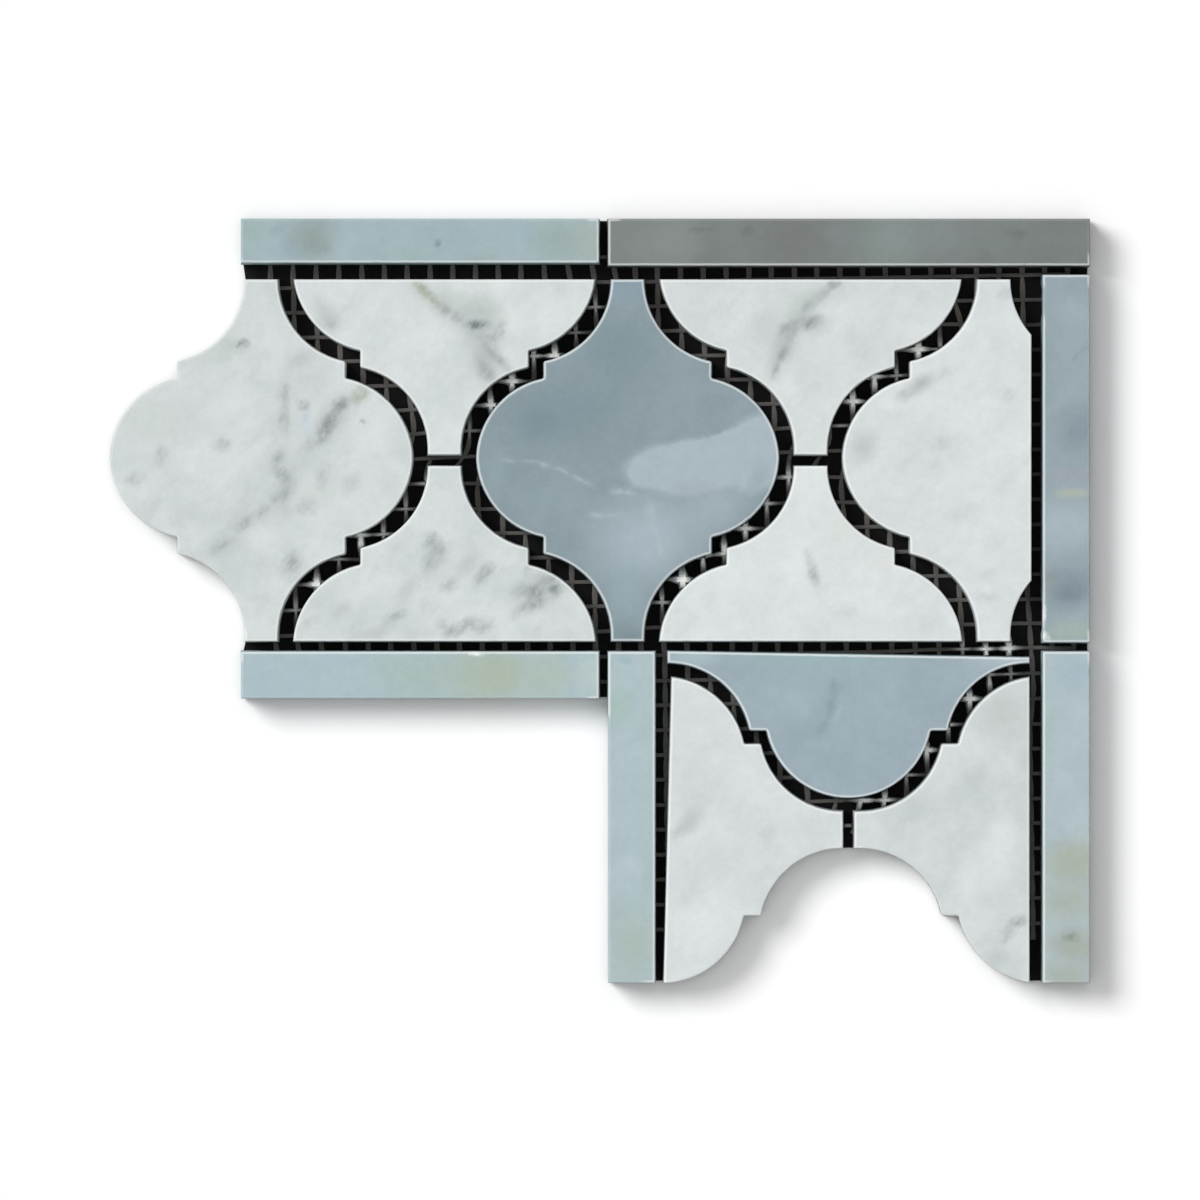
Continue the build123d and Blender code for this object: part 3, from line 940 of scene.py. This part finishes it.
            (84.5, -50.0, 7.0, 5.0, 60, PEARL, 0.6),
            (78.0, -59.0, 6.0, 4.0, 60, PEARL, 0.6),
            (88.6, -68.0, 3.4, 2.0, 10, SOOT, 0.7),
            (86.2, -70.8, 4.2, 2.4, 55, SMOKE, 0.6),
            (84.0, -76.0, 5.5, 3.2, 40, SMOKE, 0.25),
            (89.5, -34.0, 3.0, 4.0, 0, ASH, 0.5),
        ],
    },
    "top_left_strip": {
        "slot": "pale_blue_marble",
        "tones": ((157, 177, 181), (164, 183, 187)),
        "blots": [
            (-74.0, 78.5, 6.0, 4.0, 0, (155, 177, 173), 0.7),
            (-65.5, 74.5, 5.0, 3.5, 0, (148, 169, 183), 0.7),
            (-61.0, 77.0, 8.0, 9.0, 0, (145, 160, 158), 0.9),
            (-59.5, 75.0, 4.0, 3.0, 0, (134, 148, 146), 0.5),
            (-68.5, 78.5, 2.6, 1.8, 20, (140, 160, 163), 0.5),
            (-40.0, 73.5, 6.0, 2.5, 0, (154, 178, 174), 0.5),
            (-34.5, 76.0, 1.5, 1.2, 30, (112, 132, 136), 1.0),
            (-25.0, 72.8, 5.0, 1.8, 0, (155, 167, 167), 0.6),
            (-17.0, 78.0, 6.0, 4.5, 0, (157, 179, 190), 0.7),
            (-9.0, 77.0, 9.0, 7.0, 0, (152, 171, 168), 0.9),
            (-2.6, 76.0, 5.0, 8.0, 0, (164, 176, 172), 1.0),
        ],
    },
    "top_corner_strip": {
        "slot": "grey_marble",
        "tones": ((116, 122, 120), (122, 129, 127)),
        "blots": [
            (10.0, 76.0, 15.0, 14.0, 0, (127, 135, 133), 0.9),
            (16.5, 76.5, 10.0, 9.0, 0, (133, 140, 138), 0.8),
            (41.0, 76.0, 9.0, 8.0, 0, (114, 118, 117), 0.9),
            (51.0, 78.0, 5.0, 4.0, 0, (128, 131, 137), 0.7),
            (62.0, 77.0, 12.0, 12.0, 0, (130, 143, 140), 1.0),
            (73.0, 78.0, 9.0, 8.0, 0, (129, 136, 138), 0.8),
            (21.5, 78.5, 3.6, 1.0, 0, (106, 111, 111), 0.8),
            (31.0, 78.5, 3.0, 2.2, 0, (106, 111, 110), 0.7),
            (82.0, 76.0, 10.0, 1.5, 0, (114, 130, 123), 0.5),
            (88.5, 78.0, 3.0, 1.8, 0, (108, 112, 110), 0.7),
        ],
    },
    "side_upper_strip": {
        "slot": "pale_blue_marble",
        "tones": ((146, 162, 169), (153, 169, 176)),
        "blots": [
            (95.0, 50.0, 2.8, 20.0, 0, (142, 163, 162), 0.8),
            (100.5, 61.0, 6.0, 5.0, 0, (157, 174, 182), 0.7),
            (102.0, 36.5, 9.0, 8.0, 0, (133, 149, 157), 0.9),
            (100.0, 26.5, 7.0, 2.8, 0, (156, 162, 169), 0.9),
            (99.0, 16.0, 12.0, 8.0, 0, (165, 181, 188), 1.1),
            (100.5, 22.8, 6.5, 1.7, 3, (172, 181, 168), 0.9),
            (100.0, 3.0, 10.0, 7.0, 0, (131, 148, 157), 1.1),
            (95.5, 4.5, 3.0, 5.0, 0, (141, 150, 149), 0.7),
            (99.5, 1.8, 5.0, 3.0, 0, (120, 137, 148), 0.8),
            (100.0, -6.5, 9.0, 4.0, 0, (158, 176, 171), 1.3),
            # Whitish edge colour with painted highlight: a line along the strip's left edge and a mark at
            # its lower corner
            (93.7, -3.0, 6.5, 0.9, 90, EDGE_PALE_AND_HIGHLIGHT, 0.8),
            (94.6, -7.7, 2.2, 1.3, 135, EDGE_PALE_AND_HIGHLIGHT, 0.8),
        ],
        "veins": [
            ([(104.0, 54.5), (101.5, 52.5), (100.5, 50.5)], 0.6, (134, 151, 158), 0.5),
        ],
    },
    "side_lower_strip": {
        "slot": "pale_blue_marble",
        "tones": ((170, 187, 193), (177, 193, 197)),
        "blots": [
            (101.0, -15.0, 7.0, 6.0, 0, (163, 184, 195), 0.8),
            (95.0, -28.0, 2.8, 16.0, 0, (166, 188, 184), 0.7),
            (100.5, -55.6, 11.0, 8.0, 0, (169, 179, 168), 1.2),
            (99.0, -64.0, 11.0, 7.0, 0, (169, 180, 173), 1.1),
            (100.5, -73.0, 9.0, 6.0, 0, (165, 175, 166), 1.1),
            (99.0, -79.5, 11.0, 5.0, 0, (168, 179, 172), 1.1),
            (99.8, -71.3, 2.8, 1.7, 5, (122, 134, 123), 0.65),
        ],
    },
    "under_strip": {
        "slot": "pale_blue_marble",
        "tones": ((168, 188, 195), (173, 192, 198)),
        "edge": 0.55,
        "blots": [
            (-46.0, -13.5, 6.0, 4.0, 0, (167, 188, 185), 0.6),
            (-39.0, -16.0, 14.0, 9.0, 0, (167, 187, 184), 1.0),
            (-24.0, -15.7, 15.0, 10.0, 0, (170, 185, 174), 1.2),
            (-20.5, -15.5, 7.0, 6.0, 0, (170, 182, 166), 0.8),
            (-11.0, -15.5, 9.0, 9.0, 0, (172, 189, 180), 1.0),
            (-1.5, -15.7, 6.0, 9.0, 0, (182, 199, 198), 1.0),
            (-26.6, -11.3, 2.4, 0.8, -8, (226, 234, 230), 1.2),
        ],
    },
    "inner_strip": {
        "slot": "pale_blue_marble",
        "tones": ((168, 186, 192), (175, 193, 197)),
        "edge": 0.55,
        "blots": [
            (4.0, -22.0, 5.0, 6.0, 0, (166, 188, 182), 0.8),
            (9.0, -26.0, 4.0, 6.0, 0, (167, 189, 190), 0.6),
            (7.0, -56.0, 5.0, 5.0, 0, (181, 198, 203), 0.9),
            (7.0, -73.0, 9.0, 13.0, 0, (170, 187, 182), 1.0),
            (5.5, -12.8, 2.6, 1.3, 0, (149, 177, 181), 0.8),
        ],
    },
}


def marble(node, spec):
    """Honed marble: two ground tones in soft clouds, then smoke, blots, veins, grain and the whitish ground
    edge, partly a painted highlight.

    Blots and veins are ovals on a place that noise has pushed about, and a second noise breaks up the
    small ones. Smoke is noise drawn out along the stone's slant.
    """
    finish = Finish(node + "_marble")
    place = finish.place()
    drifted = finish.drifted(finish.drifted(place, *WIDE_DRIFT), *FINE_DRIFT)
    clouds = finish.noise(drifted, CLOUD_SCALE, detail=4.0, roughness=0.6)
    dark, light = spec["tones"]
    colour = finish.mix(finish.fade(clouds, 0.3, 0.7), screen(*dark), screen(*light))
    if "smoke" in spec:
        slanted = finish.drawn_out(drifted, SMOKE_SIZE, SMOKE_SLANT)
        smoke = finish.noise(slanted, 1.0, detail=5.0, roughness=0.62)
        colour = finish.mix(finish.fade(smoke, 0.5, 0.78, 0.0, 2 * spec["smoke"]), colour, screen(*ASH))
    dashes = finish.noise(finish.drawn_out(drifted, DASH_SIZE, SMOKE_SLANT), 1.0, detail=3.0)
    broken = finish.fade(dashes, 0.35, 0.62, 0.5, 1.15)
    for x, y, long, short, turn, tone, strength in spec["blots"]:
        share = finish.sum("MULTIPLY", finish.oval(drifted, x, y, long, short, turn), strength)
        if long < SMALL_BLOT:
            share = finish.sum("MULTIPLY", share, broken)
        colour = finish.mix(share, colour, screen(*tone))
    for points, width, tone, strength in spec.get("veins", []):
        wide = vein_share(finish, drifted, points, VEIN_HALO * width)
        halo = finish.sum("MULTIPLY", wide, HALO_SHARE * strength)
        core = finish.sum("MULTIPLY", vein_share(finish, drifted, points, width), strength)
        colour = finish.mix(halo, colour, screen(*tone))
        colour = finish.mix(finish.sum("MULTIPLY", core, broken), colour, screen(*tone))
    mottle = finish.noise(place, MOTTLE_SCALE, detail=4.0, roughness=0.6)
    grain = finish.noise(place, GRAIN_SCALE)
    patches = finish.fade(mottle, 0.3, 0.7, 0.965, 1.015)
    shading = finish.sum("ADD", patches, finish.fade(grain, 0.3, 0.7, -0.02, 0.02))
    shaded = finish.node("ShaderNodeVectorMath", {0: colour, "Scale": shading}, operation="SCALE")
    # Painted highlight with the edge's own paleness: the ground edge is mixed towards the whitish edge
    # colour
    edge = finish.attribute("ground_edge_and_highlight")
    wall = finish.attribute("sawn_wall")
    pale = finish.sum("MULTIPLY", edge, spec.get("edge", COMMON_PALE_AND_HIGHLIGHT))
    rough = finish.fade(mottle, 0.2, 0.8, *FACE_ROUGHNESS)
    rough = finish.sum("MAXIMUM", rough, finish.sum("MULTIPLY", wall, WALL_ROUGHNESS))
    rough = finish.sum("MAXIMUM", rough, finish.sum("MULTIPLY", edge, EDGE_ROUGHNESS))
    streaks = finish.noise(finish.drawn_out(place, SAW_MARK_SIZE), 1.0, detail=3.0)
    saw_marks = finish.bump(streaks, SAW_MARK_DEPTH, wall)
    return finish.finished(
        Base_Color=finish.mix(pale, shaded.outputs[0], screen(*EDGE_PALE_AND_HIGHLIGHT)),
        Roughness=rough,
        Specular_IOR_Level=STONE_GLOSS,
        Normal=finish.bump(grain, POLISH_DEPTH, strength=0.6, normal=saw_marks),
    )


def vein_share(finish, place, points, width):
    """How much of a vein is at a place: the largest of thin ovals laid end over end along its points."""
    share = None
    for (x0, y0), (x1, y1) in zip(points[:-1], points[1:]):
        half = math.hypot(x1 - x0, y1 - y0) / 2
        turn = math.degrees(math.atan2(y1 - y0, x1 - x0))
        reach = half + VEIN_OVERLAP * width
        oval = finish.oval(place, (x0 + x1) / 2, (y0 + y1) / 2, reach, width, turn)
        share = oval if share is None else finish.sum("MAXIMUM", share, oval)
    return share


def glass_yarn(name, plain, glued):
    """Glass-fibre yarn: grey with fine strands, darkened by painted shade along the upper side joint, and
    pale in the glue.
    """
    finish = Finish(name)
    place = finish.place()
    strands = finish.noise(place, STRAND_SCALE, detail=3.0, roughness=0.6)
    colour = finish.mix(finish.fade(strands, 0.3, 0.7, 0.0, 0.35), plain, screen(60, 58, 55))
    # Painted shade: the yarn darkened along the side joint, where the joint's shade falls on it
    painted_shade = finish.sum("MULTIPLY", finish.oval(place, *NET_PAINTED_SHADE), PAINTED_SHADE_SHARE)
    colour = finish.mix(painted_shade, colour, screen(38, 38, 37))
    glue = finish.attribute("glue")
    return finish.finished(
        Base_Color=finish.mix(glue, colour, glued),
        Roughness=finish.fade(glue, 0.0, 1.0, 0.75, 0.45),
        Normal=finish.bump(strands, STRAND_DEPTH, strength=0.6),
    )


def black_sheet():
    """The backing sheet: matt black with a fine tooth and a little dust."""
    finish = Finish("black_sheet")
    place = finish.place()
    tooth = finish.noise(place, TOOTH_SCALE, detail=4.0, roughness=0.65)
    dust = finish.noise(place, DUST_SCALE, detail=3.0)
    colour = finish.mix(finish.fade(tooth, 0.3, 0.8), screen(11, 11, 12), screen(22, 22, 21))
    return finish.finished(
        Base_Color=finish.mix(finish.fade(dust, 0.5, 0.8, 0.0, 0.3), colour, screen(34, 33, 31)),
        Roughness=finish.fade(tooth, 0.2, 0.8, 0.8, 0.95),
        Specular_IOR_Level=SHEET_GLOSS,
        Normal=finish.bump(tooth, TOOTH_DEPTH, strength=0.7),
    )


# The tile

walks = {node: outline_walk(node) for node in STONES}
for seed, (node, spec) in enumerate(STONES.items()):
    near = joint_nearness(walks, node)
    stone = stone_piece(node, walks[node], near, seed)
    stone.data.materials.append(marble(node, spec))

cross_net = net_piece("cross_yarns", "net_cross_threads", PAIR_YARN, PAIR_SPACING, walks)
cross_net.data.materials.append(glass_yarn("cross_yarn", screen(110, 107, 102), screen(232, 233, 228)))
long_net = net_piece("long_yarns", "net_long_threads", LONG_YARN, 0.0, walks)
long_net.data.materials.append(glass_yarn("long_yarn", screen(104, 102, 98), screen(234, 235, 230)))

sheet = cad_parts["backing_sheet"]
sheet.data.materials.clear()
sheet.data.materials.append(black_sheet())


# The studio


def studio_world():
    """A soft light that is strongest overhead, by a power of the height, and shows as white to the camera.

    Half of the power plus two makes a level surface get the ambient share of full light.
    """
    world = bpy.data.worlds.new("studio")
    world.use_nodes = True
    nodes = Nodes(world.node_tree)
    sight = nodes.node("ShaderNodeTexCoord", {})
    height = nodes.node("ShaderNodeSeparateXYZ", {0: sight.outputs["Generated"]})
    power = {0: height.outputs["Z"], 1: HEIGHT_POWER}
    raised = nodes.node("ShaderNodeMath", power, operation="POWER", use_clamp=True)
    strength = nodes.sum("MULTIPLY", raised.outputs[0], AMBIENT * (HEIGHT_POWER + 2) / 2)
    soft = nodes.tree.nodes["Background"]
    nodes.feed(soft.inputs["Color"], WHITE)
    nodes.feed(soft.inputs["Strength"], strength)
    shown = nodes.node("ShaderNodeBackground", {"Color": WHITE, "Strength": 1.0})
    shares = {0: nodes.background_share(), 1: soft.outputs[0], 2: shown.outputs[0]}
    choice = nodes.node("ShaderNodeMixShader", shares)
    nodes.feed(nodes.tree.nodes["World Output"].inputs["Surface"], choice.outputs[0])
    bpy.context.scene.world = world


def studio_sun():
    """A broad lamp from the upper left. Its strength gives its share of full light on a level surface."""
    lamp = bpy.data.lights.new("key", "SUN")
    lamp.energy = SUN_SHARE * math.pi / math.sin(math.radians(SUN_HEIGHT))
    lamp.angle = math.radians(SUN_SIZE)
    key = bpy.data.objects.new("key", lamp)
    key.rotation_euler = (0, math.radians(90 - SUN_HEIGHT), math.radians(SUN_BEARING))
    bpy.context.scene.collection.objects.link(key)


def studio_floor():
    """A level floor under the tile, white to the camera and a little darker to other rays."""
    half = FLOOR_SIZE / 2
    corners = np.array([(-half, -half), (half, -half), (half, half), (-half, half)])
    level = np.full((len(corners), 1), -FLOOR_DROP)
    mesh = bpy.data.meshes.new("floor")
    mesh.from_pydata((np.hstack([corners, level]) * MM).tolist(), [], [(0, 1, 2, 3)])
    finish = Finish("floor_white")
    bounce = (FLOOR_BOUNCE, FLOOR_BOUNCE, FLOOR_BOUNCE, 1)
    colour = finish.mix(finish.background_share(), bounce, WHITE)
    mesh.materials.append(finish.finished(Base_Color=colour, Roughness=1.0, Specular_IOR_Level=0.0))
    floor = bpy.data.objects.new("floor", mesh)
    bpy.context.scene.collection.objects.link(floor)


def studio_camera():
    """A long lens straight above the tile, so far up that the photo's width fits at the stones' faces."""
    lens = bpy.data.cameras.new("camera")
    lens.lens = LENS
    lens.sensor_width = SENSOR
    lens.dof.use_dof = False
    lens.clip_end = VIEW_END * MM
    camera = bpy.data.objects.new("camera", lens)
    height = cad_box[1].z + PHOTO_WIDTH * MM * LENS / SENSOR
    camera.location = (AIM[0] * MM, AIM[1] * MM, height)
    bpy.context.scene.collection.objects.link(camera)
    bpy.context.scene.camera = camera


studio_world()
studio_sun()
studio_floor()
studio_camera()
bpy.context.scene.view_settings.view_transform = "Standard"
